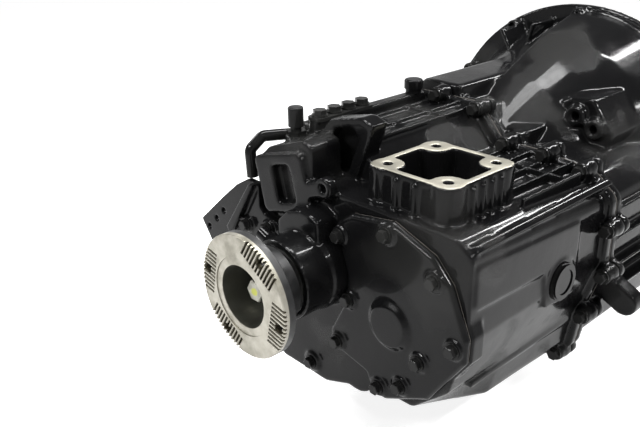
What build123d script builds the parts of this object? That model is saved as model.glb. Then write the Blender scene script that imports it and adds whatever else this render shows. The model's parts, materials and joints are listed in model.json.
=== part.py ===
from build123d import *

import os
from math import acos, atan2, cos, degrees, pi, radians, sin, tan

# Six-speed manual truck transmission, built as it comes apart on a bench.
# Frame: origin at the centre of the bell housing's mounting face, on the input shaft's axis.
# +X points forward (towards the engine), +Y to the left, +Z up.  Lengths are millimetres.

# ---- overall layout: stations are counted forward from the output flange's face ----
LENGTH = 707.0            # output flange face to bell housing mounting face
NOSE_REAR = 55.0          # rear end of the output bearing nose
COVER_FACE = 115.0        # rear face of the countershaft cover
REAR_WALL = 124.0         # rear face of the main case
REAR_INNER = 140.0        # inner face of the rear wall
UPPER_REAR = 175.0        # where the raised selector ridge begins
SEAM = 405.0              # main case to bell housing joint
GASKET = 0.8              # thickness of the paper gaskets
PARTITION = 22.0          # bearing wall of the bell housing
WALL = 8.0                # cast wall thickness

# ---- shaft centres, as (y, z) ----
CENTRE_DISTANCE = 126.0
COUNTER_ANGLE = 195.3     # direction of the countershaft seen from the main axis, degrees
MODULE = 4.5
COUNTER = (CENTRE_DISTANCE * cos(radians(COUNTER_ANGLE)), CENTRE_DISTANCE * sin(radians(COUNTER_ANGLE)))

# ---- gear teeth: pair name -> (teeth on countershaft, teeth on main or input) ----
TEETH = {"drive": (32, 24), "6": (35, 21), "4": (29, 27), "3": (23, 33), "2": (18, 38), "1": (12, 44)}
REVERSE_COUNTER, REVERSE_IDLER, REVERSE_MAIN = 14, 18, 36
ADDENDUM = 0.70           # of the module: stub teeth
DEDENDUM = 1.00
BACKLASH = 0.70           # along the pitch circle
PRESSURE = radians(20)

# ---- gear stations: (rear, front) of each toothed wheel on the main axis ----
WHEELS = {
    "drive": (382.0, 402.0),
    "6": (335.0, 352.0),
    "4": (315.0, 333.0),
    "3": (267.0, 285.0),
    "2": (245.0, 265.0),
    "1": (193.0, 215.0),
    "reverse": (152.0, 170.0),
}
HUBS = {"56": 367.0, "34": 300.0, "12": 230.0, "reverse": 185.0}
COUNTER_INSET = 1.5       # countershaft wheels are narrower at each side
DOG_RADIUS = 53.9
DOG_WIDTH = 3.0
CONE_RADIUS = 45.4
HUB_WIDTH = 14.0
BAULK_WIDTH = 4.0
SLEEVE_WIDTH = 14.0
SLEEVE_OUTER = 66.0
SLEEVE_BORE = 54.3
GROOVE_FLOOR = 60.0
GROOVE_WIDTH = 7.4

# ---- shafts ----
MAIN_RADIUS = 30.0
OUTPUT_RADIUS = 21.0
COUNTER_RADIUS = 22.0
RUNNING = 0.08            # radial clearance of a loose wheel on its shaft
RAIL_RADIUS = 8.0
RAIL_Z = 66.0
RAILS = {"12": -94.0, "34": -116.0, "56": -138.0, "reverse": -160.0}

# ---- output flange with cross teeth ----
FLANGE_RADIUS = 75.0
FLANGE_THICK = 17.0
FLANGE_BORE = 38.2
FLANGE_PITCH_RADIUS = 65.0
FLANGE_HOLE = 6.5
FLANGE_FIRST = -57.45     # direction of the first hole, degrees from +Y towards +Z
FLANGE_STEPS = (0, 70, 180, 250)
CUP_DEPTH = 44.0
TEETH_RADIUS = 50.0       # where the cross teeth begin
TEETH_PITCH = 5.3
TEETH_DEPTH = 3.4
TEETH_SIDE = 5            # grooves on each side of a field's middle groove
NUT_FACE = 18.0           # station of the flange bolt head's face

# ---- bell housing ----
BELL_RADIUS = 244.5
BELL_PITCH_RADIUS = 233.35
BELL_HOLES = 12
BELL_HOLE = 5.5
BELL_FLANGE = 14.0
BELL_SPLIT = 10.0         # y where the wide right shell meets the narrow left one
BOSS_HOLES = [(-116, 131), (-144, 117)]   # threaded bosses on the slanted block

# ---- shift tower opening ----
TOWER = (200.1, -118.8)   # station and y of its centre
TOWER_TOP = 139.7
TOWER_PITCH = 85.0
TOWER_HALF = 60.5
TOWER_OPEN = 50.0
TOWER_BOSS = 20.0
TOWER_FOOT = 80.0

# ---- fittings ----
BREATHER = (162.0 - LENGTH, 84.0)
BREATHER_SEAT = 137.0
PIPE_END = (190.0, 103.0, 131.0)   # station, y and z of the vent pipe's upper end

# Cross-sections of the main case's lower body: rear wall, behind the tower, seam.
CASE_WAIST = 230.0
CASE_REAR = [
    (116, 92), (116, -90), (84, -173), (-4, -174), (-98, -138), (-150, -136), (-200, -92), (-222, -18),
    (-222, 82), (-200, 97), (-120, 97), (60, 100),
]
CASE_MIDDLE = [
    (116, 92), (116, -90), (92, -190), (-30, -190), (-136, -188), (-182, -154), (-200, -92), (-222, -18),
    (-222, 77), (-198, 93), (-120, 97), (60, 100),
]
CASE_BODY = [
    (116, 92), (116, -90), (92, -190), (-30, -190), (-140, -190), (-192, -150), (-200, -92), (-222, -18),
    (-222, 64), (-194, 88), (-120, 96), (60, 100),
]
CASE_UPPER = [(80, 142), (106, 96), (106, 40), (-62, 40), (-62, 92), (-18, 142)]

SEAM_BOLTS = [
    (38, 154), (-28, 146), (-77, 108), (-137, 108), (-190, 99), (-234, 33), (-236, -29), (-216, -95),
    (-186, -165), (-110, -201), (-30, -200), (50, -200), (108, -160), (127, -90), (126, -10), (124, 70),
    (104, 128),
]
SEAM_LUG = 11.0           # radius of the lug behind each seam bolt
SEAM_GRIP = 24.0          # length of that lug, seam to bolt head
COVER_LUG = 12.0          # radius of the lug around each cover bolt
COVER_CHAMFER = 3.5       # bevel around the cover's face
COVER_OUTLINE = [
    (-33, 66), (-58, 84), (-120, 93), (-178, 72), (-203, 46), (-227, -10), (-226, -38), (-178, -108),
    (-140, -128), (-114, -141), (-92, -136), (-84, -116), (-46, -108), (-24, -106), (-22, -82),
    (-44, -40), (-44, 30),
]
BRACKET_BOLTS = [(90, 20), (134, 12)]
WALL_BOLT = (20, -154)    # single bolt low in the rear wall
WALL_LUMP = (-57, -139)   # y and z of the swelling low in the rear wall
SIDE_COVER = (299.0, -7.0, 24.0)   # station, z and radius of the round plug in the right wall
COVER_BOLTS = [
    (-42, 53), (-115, 78), (-183, 46), (-212, -24), (-166, -62), (-140, -107), (-106, -125), (-38, -92),
    (-57, -26),
]


def st(station):
    """X of a station counted forward from the output flange's face."""
    return station - LENGTH


def across(station, centre=(0, 0)):
    """Plane square to the shafts: its local x is +Y and its local y is +Z."""
    return Plane(origin=(st(station), centre[0], centre[1]), x_dir=(0, 1, 0), z_dir=(1, 0, 0))


def beside(y):
    """Upright plane along the shafts, facing right: its local x is +X and its local y is +Z."""
    return Plane(origin=(0, y, 0), x_dir=(1, 0, 0), z_dir=(0, -1, 0))


def polar(radius, angle):
    """Point (y, z) at a radius and an angle in degrees."""
    return (radius * cos(radians(angle)), radius * sin(radians(angle)))


def case_section(grow, outline=CASE_BODY):
    """Cross-section of the main case's lower body, grown by a distance."""
    with BuildSketch() as section:
        Polygon(*outline, align=None)
        fillet(section.vertices(), radius=11)
        if grow:
            offset(amount=grow)
    return section.sketch


def cavity_section(outline):
    """Sharp-cornered section of the gear chamber inside an outline."""
    with BuildSketch() as section:
        Polygon(*outline, align=None)
        offset(amount=-WALL, kind=Kind.INTERSECTION)
    return section.sketch


def upper_section(grow):
    """Cross-section of the raised selector ridge, grown by a distance."""
    with BuildSketch() as section:
        Polygon(*CASE_UPPER, align=None)
        fillet(section.vertices(), radius=9)
        if grow:
            offset(amount=grow)
    return section.sketch


def gear_outline(teeth, phase):
    """Involute outline of a spur wheel with one tooth centred at the phase, in degrees."""
    pitch = MODULE * teeth / 2
    base = pitch * cos(PRESSURE)
    tip = pitch + ADDENDUM * MODULE
    root = pitch - DEDENDUM * MODULE
    half_at_pitch = (pi * MODULE / 2 - BACKLASH / 2) / (2 * pitch)

    def half_angle(radius):
        angle = acos(min(1.0, base / radius))
        return half_at_pitch + (tan(PRESSURE) - PRESSURE) - (tan(angle) - angle)

    start = max(base, root + 0.2)
    flank = [(root, half_angle(start) + 0.01), (start, half_angle(start)), (pitch, half_at_pitch),
             (tip, half_angle(tip))]
    points = []
    for tooth in range(teeth):
        middle = radians(phase) + 2 * pi * tooth / teeth
        for radius, half in flank:
            points.append((radius * cos(middle - half), radius * sin(middle - half)))
        for radius, half in reversed(flank):
            points.append((radius * cos(middle + half), radius * sin(middle + half)))
    return points


def meshing_phase(first, second, direction, first_phase):
    """Phase of the second wheel that meshes with the first, seen in a direction from the first."""
    first_pitch = 360 / first
    second_pitch = 360 / second
    share = ((direction - first_phase) / first_pitch) % 1.0
    return direction + 180 - second_pitch * (0.5 - share)


def spline_outline(radius, depth, count):
    """Outline of a splined shaft or toothed ring with square teeth."""
    points = []
    step = 360 / count
    for tooth in range(count):
        start = tooth * step
        points += [polar(radius, start - step * 0.24), polar(radius, start + step * 0.24)]
        points += [polar(radius - depth, start + step * 0.30), polar(radius - depth, start + step * 0.70)]
    return points


def hex_bolts(positions, seat, key_radius, head, shank, reach, direction=1):
    """Flanged hexagon bolts along X: heads behind the seat (or ahead of it when direction is -1)."""
    with BuildPart() as bolts:
        with BuildSketch(across(seat)):
            with Locations(*positions):
                Circle(key_radius * 1.22)
        extrude(amount=-2.0 * direction)
        with BuildSketch(across(seat - 2.0 * direction)):
            with Locations(*positions):
                RegularPolygon(key_radius, 6)
        extrude(amount=-head * direction)
        with BuildSketch(across(seat)):
            with Locations(*positions):
                Circle(shank)
        extrude(amount=reach * direction)
        top = -1 if direction == 1 else 1
        heads = bolts.faces().filter_by(Axis.X).group_by(Axis.X)[0 if top == -1 else -1]
        chamfer(heads.edges(), length=0.8)
    return bolts.part


def bearing_cup(seat, centre, outer, width, race, big_rear):
    """Outer race of a taper roller bearing."""
    low = race + (3.0 if big_rear else 0.0)
    high = race + (0.0 if big_rear else 3.0)
    with BuildPart() as cup:
        with BuildSketch(across(seat, centre)):
            Circle(outer)
        extrude(amount=width)
        with BuildSketch(across(seat, centre)):
            Circle(low)
        with BuildSketch(across(seat + width, centre)):
            Circle(high)
        loft(mode=Mode.SUBTRACT)
    return cup.part


def bearing_cone(seat, centre, bore, race, width, rollers):
    """Inner race of a taper roller bearing with its rollers around it."""
    roller = 4.2
    ring = race - roller - 0.45
    with BuildPart() as cone:
        with BuildSketch(across(seat, centre)):
            Circle(ring - roller + 0.6)
            Circle(bore, mode=Mode.SUBTRACT)
        extrude(amount=width)
        with BuildSketch(across(seat + 2.5, centre)):
            with PolarLocations(ring, rollers):
                Circle(roller)
        extrude(amount=width - 5)
    return cone.part


SENSOR_PLANE = Plane(origin=(st(91), 0, 0), x_dir=(1, 0, 0), z_dir=(0, 0.94, 0.342))


def save(part, name):
    """Label a finished piece and write it."""
    part.label = name
    export_step(part, f"parts/{name}.step")


os.makedirs("parts", exist_ok=True)

# =====================================================================================
# Castings
# =====================================================================================
# Main case: lower body, selector ridge, shift tower, nose, seam flange, ribs and bosses.
tower_corners = [
    (st(TOWER[0]) + dx * TOWER_PITCH / 2, TOWER[1] + dy * TOWER_PITCH / 2)
    for dx in (-1, 1)
    for dy in (-1, 1)
]
tower_centre = (st(TOWER[0]), TOWER[1])

with BuildPart() as main_case:
    for rear, front, rear_outline, front_outline in (
        (REAR_WALL, CASE_WAIST, CASE_REAR, CASE_MIDDLE),
        (CASE_WAIST, SEAM, CASE_MIDDLE, CASE_BODY),
    ):
        with BuildSketch(across(rear)):
            add(case_section(0, rear_outline))
        with BuildSketch(across(front)):
            add(case_section(0, front_outline))
        loft(ruled=True)
    with BuildSketch(across(UPPER_REAR)):
        add(upper_section(0))
    extrude(amount=SEAM - UPPER_REAR)
    # flange of the seam, with a lug behind each bolt
    with BuildSketch(across(SEAM - 13)):
        add(case_section(9))
        add(upper_section(9))
        with Locations(*SEAM_BOLTS):
            Circle(SEAM_LUG + 1)
    extrude(amount=13)
    with BuildSketch(across(SEAM - SEAM_GRIP)):
        with Locations(*SEAM_BOLTS):
            Circle(SEAM_LUG)
    extrude(amount=SEAM_GRIP - 6)
    # nose around the output bearing
    with BuildSketch(across(NOSE_REAR)):
        Circle(50.4)
    extrude(amount=REAR_WALL - NOSE_REAR)
    with BuildSketch(across(98)):
        Circle(53)
    extrude(amount=REAR_WALL - 98)
    # arched collar over the nose
    with BuildSketch(across(92)) as collar:
        Polygon((46, 26), (43, 54), (26, 70), (2, 77), (-16, 76), (-27, 70), (-29, 40), align=None)
        fillet(collar.vertices().sort_by(Axis.Z)[2:], radius=9)
    extrude(amount=REAR_WALL - 92)
    # bolt pads for the countershaft cover
    with BuildSketch(across(COVER_FACE + 9)):
        Polygon(*COVER_OUTLINE, align=None)
        offset(amount=2)
    extrude(amount=22)
    # box casting beside the ridge, with a framed opening to the rear
    with BuildSketch(across(REAR_WALL - 4)) as box_body:
        Polygon((104, 45), (101, 118), (90, 129), (26, 151), (10, 146), (8, 66), align=None)
        fillet(box_body.vertices(), radius=8)
    extrude(amount=84)
    with BuildSketch(across(REAR_WALL - 12)):
        with Locations((57, 91)):
            RectangleRounded(92, 74, 9, rotation=-15)
    extrude(amount=20)
    with BuildSketch(across(REAR_WALL - 12)):
        with Locations((54, 91)):
            RectangleRounded(34, 48, 6, rotation=-15)
    extrude(amount=13, mode=Mode.SUBTRACT)
    with BuildSketch(across(REAR_WALL - 12)):
        with Locations((-16, 104)):
            Circle(13)
        with Locations((2, 97)):
            Rectangle(30, 20, rotation=-20)
        with Locations((-16, 104)):
            Circle(5, mode=Mode.SUBTRACT)
    extrude(amount=14)
    # seats of the breather and of the vent pipe's upper end
    with BuildSketch(Plane.XY.offset(100)):
        with Locations(BREATHER):
            Circle(14)
    extrude(amount=BREATHER_SEAT - 100)
    with BuildSketch(across(PIPE_END[0])):
        with Locations(PIPE_END[1:]):
            Circle(12)
        with Locations((PIPE_END[1] - 7, PIPE_END[2] - 5)):
            Rectangle(26, 22)
    extrude(amount=24)
    # arched gusset on the ridge's rear end
    with BuildSketch(across(UPPER_REAR - 6)) as arch:
        Polygon((66, 98), (62, 130), (28, 167), (-22, 178), (-42, 172), (-36, 150), (-12, 92), align=None)
        fillet(arch.vertices().sort_by(Axis.Z)[2:], radius=7)
    extrude(amount=26)
    with BuildSketch(across(UPPER_REAR - 6)) as arch_pocket:
        Polygon((48, 104), (44, 126), (20, 157), (-8, 164), (-20, 152), (0, 104), align=None)
        fillet(arch_pocket.vertices(), radius=6)
    extrude(amount=19, mode=Mode.SUBTRACT)
    # rail along the ridge's left edge and ribs along its top
    with BuildSketch(Plane.XY.offset(136)):
        with Locations((st(279), 66)):
            RectangleRounded(211, 18, 5)
    extrude(amount=20)
    with BuildSketch(Plane.XY.offset(130)):
        with Locations((st(300), 46), (st(300), 10), (st(300), -18)):
            Rectangle(190, 5)
        with Locations((st(262), 14), (st(330), 14)):
            Rectangle(5, 70)
    extrude(amount=18)
    # ribs along the shoulder between tower and seam, and across it
    with BuildSketch(Plane.XY.offset(70)):
        with Locations(*[(st(322), y) for y in (-80, -110, -141, -170, -196)]):
            Rectangle(150, 4)
        with Locations((st(340), -136)):
            Rectangle(4, 116)
    extrude(amount=34)
    # shift tower, flared into the shoulder
    with BuildSketch(Plane.XY.offset(TOWER_FOOT - 20)):
        with Locations(tower_centre):
            RectangleRounded(2 * TOWER_HALF, 2 * TOWER_HALF, 10)
    extrude(amount=TOWER_TOP - TOWER_FOOT + 20)
    with BuildSketch(Plane.XY.offset(TOWER_FOOT - 20)):
        with Locations(*tower_corners):
            Circle(TOWER_BOSS)
    extrude(amount=TOWER_TOP - TOWER_FOOT + 20)
    with BuildSketch(Plane.XY.offset(TOWER_FOOT - 20)):
        with Locations(*[(st(TOWER[0]) + 17 * i, TOWER[1] - TOWER_HALF - 1) for i in (-1.5, -0.5, 0.5, 1.5)]):
            Rectangle(5, 8)
        with Locations(*[(st(TOWER[0]) - TOWER_HALF - 1, TOWER[1] + 26 * i) for i in (-0.5, 0.5)]):
            Rectangle(8, 5)
        with Locations(*[(st(TOWER[0]) + TOWER_HALF + 1, TOWER[1] + 17 * i) for i in (-1.5, -0.5, 0.5, 1.5)]):
            Rectangle(8, 5)
    extrude(amount=TOWER_TOP - TOWER_FOOT + 14)
    # ledge along the shoulder's edge, raised panel and seat of the round plug in the right wall
    with BuildSketch(across(132)):
        with Locations((-214, 84)):
            Rectangle(10, 14, rotation=40)
    extrude(amount=SEAM - 132)
    with BuildSketch(beside(-220)) as wall_panel:
        Polygon(
            (st(131), 70), (st(131), 25), (st(138), 20), (st(262), 15), (st(270), -34), (st(334), -38),
            (st(334), 58), align=None,
        )
        fillet(wall_panel.vertices(), radius=5)
    extrude(amount=4.5)
    with BuildSketch(beside(-216)):
        with Locations((st(SIDE_COVER[0]), SIDE_COVER[1])):
            Circle(SIDE_COVER[2] + 4)
    extrude(amount=10)
    # boss of the single bolt in the rear wall, and the swelling beside it
    with BuildSketch(across(REAR_WALL - 4)):
        with Locations(WALL_BOLT):
            Circle(13)
    extrude(amount=10)
    with BuildSketch(across(REAR_WALL)):
        with Locations(WALL_LUMP):
            Ellipse(28, 21)
    extrude(amount=24)
    # keel rib under the right side and feet under the sump
    with BuildSketch(across(170)):
        with Locations((-193, -106)):
            Rectangle(12, 7)
    extrude(amount=SEAM - 176)
    with BuildSketch(Plane.XY.offset(-196)):
        with Locations((st(240), 40), (st(240), -90), (st(350), 40), (st(350), -110)):
            Circle(20)
    extrude(amount=10)
    # inside: gear chamber, ridge, tower passage
    for rear, front, rear_outline, front_outline in (
        (REAR_INNER, CASE_WAIST, CASE_REAR, CASE_MIDDLE),
        (CASE_WAIST, SEAM, CASE_MIDDLE, CASE_BODY),
    ):
        with BuildSketch(across(rear)):
            add(cavity_section(rear_outline))
        with BuildSketch(across(front)):
            add(cavity_section(front_outline))
        loft(ruled=True, mode=Mode.SUBTRACT)
    with BuildSketch(across(UPPER_REAR + 17)):
        add(upper_section(-WALL))
    extrude(amount=SEAM - UPPER_REAR - 17, mode=Mode.SUBTRACT)
    with BuildSketch(Plane.XY.offset(60)) as passage:
        with Locations(tower_centre):
            RectangleRounded(2 * TOWER_OPEN, 2 * TOWER_OPEN, 8)
        with Locations(*tower_corners):
            Circle(TOWER_BOSS, mode=Mode.SUBTRACT)
    extrude(amount=100, mode=Mode.SUBTRACT)
    # bearing bosses on the inside of the rear wall
    with BuildSketch(across(REAR_INNER)):
        Circle(56)
        with Locations(COUNTER):
            Circle(46)
    extrude(amount=5)
    # bores: nose, output bearing, countershaft bearing, idler pin, selector rails
    with BuildSketch(across(NOSE_REAR)):
        Circle(42)
    extrude(amount=14, mode=Mode.SUBTRACT)
    with BuildSketch(across(NOSE_REAR + 14)):
        Circle(39)
    extrude(amount=120, mode=Mode.SUBTRACT)
    with BuildSketch(across(REAR_WALL - 2)):
        Circle(49)
    extrude(amount=60, mode=Mode.SUBTRACT)
    with BuildSketch(across(REAR_WALL)):
        with Locations(COUNTER):
            Circle(38)
    extrude(amount=21, mode=Mode.SUBTRACT)
    with BuildSketch(across(REAR_WALL + 3)):
        with Locations(*[(y, RAIL_Z) for y in RAILS.values()]):
            Circle(RAIL_RADIUS + RUNNING)
    extrude(amount=20, mode=Mode.SUBTRACT)
    # holes: tower bolts, cover bolts, seam bolts
    with BuildSketch(Plane.XY.offset(TOWER_TOP - 26)):
        with Locations(*tower_corners):
            Circle(5.2)
    extrude(amount=26, mode=Mode.SUBTRACT)
    with BuildSketch(across(REAR_WALL)):
        with Locations(*COVER_BOLTS):
            Circle(4.3)
    extrude(amount=12, mode=Mode.SUBTRACT)
    with BuildSketch(across(SEAM - SEAM_GRIP)):
        with Locations(*SEAM_BOLTS):
            Circle(5.3)
    extrude(amount=SEAM_GRIP, mode=Mode.SUBTRACT)
    with BuildSketch(across(SEAM - SEAM_GRIP - 12)):
        with Locations(*SEAM_BOLTS):
            Circle(11.0)
    extrude(amount=12, mode=Mode.SUBTRACT)
    with BuildSketch(across(REAR_WALL - 4)):
        with Locations(BRACKET_BOLTS[0], WALL_BOLT):
            Circle(4.3)
    extrude(amount=14, mode=Mode.SUBTRACT)
    with BuildSketch(SENSOR_PLANE.offset(36)):
        Circle(8.1)
    extrude(amount=20, mode=Mode.SUBTRACT)
save(main_case.part, "main_case")

# Bell housing: bearing partition, front case blending into the clutch bell, mounting flange.
bell_rear = SEAM + GASKET


def bell_shell(outer, inner):
    """Right half of the wide clutch bell: a turned shell cut off at the split plane."""
    with BuildPart() as shell:
        with BuildSketch(Plane.XY):
            with BuildLine():
                Polyline(*outer, *reversed(inner), close=True)
            make_face()
        revolve(axis=Axis.X)
        split(bisect_by=Plane(origin=(0, BELL_SPLIT, 0), z_dir=(0, -1, 0)), keep=Keep.TOP)
    return shell.part


WIDE_OUTER = [(st(bell_rear + 12), 118), (st(500), 168), (st(600), 214), (-34, 234), (-BELL_FLANGE, 236)]
WIDE_INNER = [(st(bell_rear + 12), 104), (st(500), 158), (st(600), 205), (-34, 226), (-BELL_FLANGE, 226)]
wide_shell = bell_shell(WIDE_OUTER, WIDE_INNER)
BELL_RIDGE = [(90, 60), (90, 158), (80, 166), (16, 166), (2, 120), (-8, 60)]

with BuildPart() as bell_housing:
    with BuildSketch(across(bell_rear)):
        add(case_section(9))
        add(upper_section(9))
        with Locations(*SEAM_BOLTS):
            Circle(SEAM_LUG + 1)
    extrude(amount=13)
    with BuildSketch(across(bell_rear)):
        add(case_section(0))
    extrude(amount=LENGTH - bell_rear - 60)
    with BuildSketch(across(bell_rear)):
        add(upper_section(0))
    extrude(amount=150)
    # clutch bell: narrow shell all round, mounting flange
    with BuildSketch(Plane.XY):
        with BuildLine():
            Polyline(
                (st(bell_rear), 0), (st(bell_rear), 118), (st(500), 152), (st(600), 182), (-34, 208),
                (-BELL_FLANGE, 214), (-BELL_FLANGE, BELL_RADIUS), (0, BELL_RADIUS), (0, 0), close=True,
            )
        make_face()
    revolve(axis=Axis.X)
    # square ridge from the seam to the flange, with two gussets beside it
    with BuildSketch(across(bell_rear + 2)) as ridge:
        Polygon(*BELL_RIDGE, align=None)
        fillet(ridge.vertices().sort_by(Axis.Z)[2:], radius=6)
    extrude(amount=LENGTH - BELL_FLANGE - bell_rear)
    for foot, top in (((80, 148), (113, 204)), ((68, 160), (54, 219))):
        with BuildSketch(across(632)):
            with BuildLine():
                Polyline(foot, top, (top[0] - 7, top[1] + 1), (foot[0] - 7, foot[1] + 1), close=True)
            make_face()
        extrude(amount=LENGTH - 636)
    # slanted block with two threaded bosses, and its bar
    with BuildSketch(across(bell_rear + 16)):
        with Locations((-72, 108)):
            Rectangle(34, 22)
    extrude(amount=120)
    with BuildSketch(across(bell_rear + 92)) as block:
        Polygon((-60, 92), (-60, 126), (-104, 154), (-136, 156), (-170, 112), (-160, 84), align=None)
        fillet(block.vertices(), radius=5)
    extrude(amount=90)
    with BuildSketch(across(bell_rear + 82)):
        with Locations(*BOSS_HOLES):
            Circle(14)
    extrude(amount=60)
    # long ribs along the right side
    with BuildSketch(across(bell_rear + 12)):
        with Locations((-226, 52), (-226, 10), (-226, -32), (-214, -84)):
            Rectangle(14, 5)
    extrude(amount=200)
    # bosses behind the flange bolts
    with BuildSketch(across(LENGTH - 34)):
        with Locations(*[polar(BELL_PITCH_RADIUS - 3, 30 * i) for i in range(BELL_HOLES)]):
            Circle(12)
    extrude(amount=33)
    # support ear at the lower right of the seam
    with BuildSketch(across(bell_rear)):
        with Locations((-232, -58)):
            SlotOverall(88, 34, rotation=26)
    extrude(amount=24)
    # inside of the bell and of the front case
    with BuildSketch(Plane.XY):
        with BuildLine():
            Polyline(
                (st(bell_rear + PARTITION), 0), (st(bell_rear + PARTITION), 104), (st(500), 142),
                (st(600), 172), (-34, 198), (-BELL_FLANGE, 204), (0, 204), (0, 0), close=True,
            )
        make_face()
    revolve(axis=Axis.X, mode=Mode.SUBTRACT)
    with BuildSketch(across(bell_rear + PARTITION)):
        add(case_section(-WALL))
    extrude(amount=LENGTH - bell_rear - PARTITION - 68, mode=Mode.SUBTRACT)
    with BuildSketch(across(bell_rear + PARTITION)):
        add(upper_section(-WALL))
    extrude(amount=120, mode=Mode.SUBTRACT)
    add(wide_shell)
    # bosses behind the partition, bearing bores, rail bores
    with BuildSketch(across(bell_rear + PARTITION)):
        Circle(70)
    extrude(amount=8)
    with BuildSketch(across(bell_rear)):
        Circle(52)
    extrude(amount=PARTITION + 8, mode=Mode.SUBTRACT)
    with BuildSketch(across(bell_rear)):
        with Locations(COUNTER):
            Circle(38)
    extrude(amount=18, mode=Mode.SUBTRACT)
    with BuildSketch(across(bell_rear)):
        with Locations(*[(y, RAIL_Z) for y in RAILS.values()]):
            Circle(RAIL_RADIUS + RUNNING)
    extrude(amount=17.5, mode=Mode.SUBTRACT)
    # holes: engine bolts, seam bolts, guide tube bolts, starter face, bosses
    with BuildSketch(across(LENGTH - 34)):
        with Locations(*[polar(BELL_PITCH_RADIUS, 30 * i) for i in range(BELL_HOLES)]):
            Circle(BELL_HOLE)
    extrude(amount=34, mode=Mode.SUBTRACT)
    with BuildSketch(across(bell_rear)):
        with Locations(*SEAM_BOLTS):
            Circle(4.3)
    extrude(amount=14, mode=Mode.SUBTRACT)
    with BuildSketch(across(bell_rear + PARTITION - 6)):
        with PolarLocations(61, 6):
            Circle(3.4)
    extrude(amount=14, mode=Mode.SUBTRACT)
    with BuildSketch(across(bell_rear + 82)):
        with Locations(*BOSS_HOLES):
            Circle(6)
    extrude(amount=24, mode=Mode.SUBTRACT)
save(bell_housing.part, "bell_housing")

# =====================================================================================
# Covers, gaskets and fittings
# =====================================================================================
with BuildPart() as rear_cover:
    with BuildSketch(across(COVER_FACE)) as cover_shape:
        Polygon(*COVER_OUTLINE, align=None)
        fillet(cover_shape.vertices(), radius=5)
    extrude(amount=REAR_WALL - GASKET - COVER_FACE)
    chamfer(rear_cover.faces().sort_by(Axis.X)[0].edges(), length=COVER_CHAMFER)
    with BuildSketch(across(COVER_FACE - 6)):
        with Locations(COUNTER):
            Circle(25)
    with BuildSketch(across(COVER_FACE)):
        with Locations(COUNTER):
            Circle(32)
    loft()
    with BuildSketch(across(COVER_FACE - 3)):
        with Locations(*COVER_BOLTS):
            Circle(COVER_LUG)
    extrude(amount=9)
    with BuildSketch(across(COVER_FACE - 6)):
        Circle(54.5)
        with Locations(*COVER_BOLTS):
            Circle(4.5)
    extrude(amount=20, mode=Mode.SUBTRACT)
save(rear_cover.part, "rear_cover")

with BuildPart() as cover_gasket:
    with BuildSketch(across(REAR_WALL - GASKET)):
        Polygon(*COVER_OUTLINE, align=None)
        offset(amount=-0.8)
        with Locations(COUNTER):
            Circle(40, mode=Mode.SUBTRACT)
        Circle(54.5, mode=Mode.SUBTRACT)
        with Locations(*COVER_BOLTS):
            Circle(4.5, mode=Mode.SUBTRACT)
    extrude(amount=GASKET)
save(cover_gasket.part, "cover_gasket")

with BuildPart() as seam_gasket:
    with BuildSketch(across(SEAM)):
        add(case_section(8.5))
        add(upper_section(8.5))
        add(case_section(-WALL - 0.5), mode=Mode.SUBTRACT)
        add(upper_section(-WALL - 0.5), mode=Mode.SUBTRACT)
        with Locations(*SEAM_BOLTS):
            Circle(4.6, mode=Mode.SUBTRACT)
    extrude(amount=GASKET)
save(seam_gasket.part, "seam_gasket")

cover_bolts = hex_bolts(COVER_BOLTS, COVER_FACE - 3, 7.6, 6.0, 4.0, 20)
bracket_bolts = hex_bolts(BRACKET_BOLTS, REAR_WALL - 12, 7.6, 6.0, 4.0, 20)
wall_bolt = hex_bolts([WALL_BOLT], REAR_WALL - 4, 7.6, 6.0, 4.0, 13)
save(Compound(children=cover_bolts.solids() + bracket_bolts.solids() + wall_bolt.solids()), "cover_bolts")
save(hex_bolts(SEAM_BOLTS, SEAM - SEAM_GRIP, 7.8, 7.0, 4.25, SEAM_GRIP + 13), "seam_bolts")

# guide tube that covers the input bearing
guide_seat = SEAM + GASKET + PARTITION + 8
with BuildPart() as guide_tube:
    with BuildSketch(across(guide_seat)):
        Circle(68)
    extrude(amount=8)
    with BuildSketch(across(guide_seat)):
        Circle(27)
    extrude(amount=128)
    with BuildSketch(across(guide_seat)):
        Circle(40)
    extrude(amount=7, mode=Mode.SUBTRACT)
    with BuildSketch(across(guide_seat)):
        Circle(34)
    extrude(amount=18)
    with BuildSketch(across(guide_seat)):
        Circle(30)
    extrude(amount=14, mode=Mode.SUBTRACT)
    with BuildSketch(across(guide_seat)):
        Circle(23.5)
    extrude(amount=140, mode=Mode.SUBTRACT)
    with BuildSketch(across(guide_seat)):
        with PolarLocations(61, 6):
            Circle(4.3)
    extrude(amount=10, mode=Mode.SUBTRACT)
save(guide_tube.part, "guide_tube")
guide_bolts = hex_bolts([polar(61, 60 * i) for i in range(6)], guide_seat + 8, 6.0, 5.0, 3.3, 20, -1)
save(guide_bolts, "guide_tube_bolts")

with BuildPart() as input_seal:
    with BuildSketch(across(guide_seat + 1)):
        Circle(30)
        Circle(21.3, mode=Mode.SUBTRACT)
    extrude(amount=9)
save(input_seal.part, "input_seal")

with BuildPart() as output_seal:
    with BuildSketch(across(NOSE_REAR + 1)):
        Circle(42)
        Circle(33.3, mode=Mode.SUBTRACT)
    extrude(amount=11)
save(output_seal.part, "output_seal")

# round plug in the right wall
side_cover_place = (st(SIDE_COVER[0]), SIDE_COVER[1])
with BuildPart() as side_cover:
    with BuildSketch(beside(-226)):
        with Locations(side_cover_place):
            Circle(SIDE_COVER[2])
    extrude(amount=4)
    with BuildSketch(beside(-230)):
        with Locations(side_cover_place):
            Circle(SIDE_COVER[2] - 2)
            Circle(SIDE_COVER[2] - 8, mode=Mode.SUBTRACT)
    extrude(amount=1.5)
save(side_cover.part, "side_cover")

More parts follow.
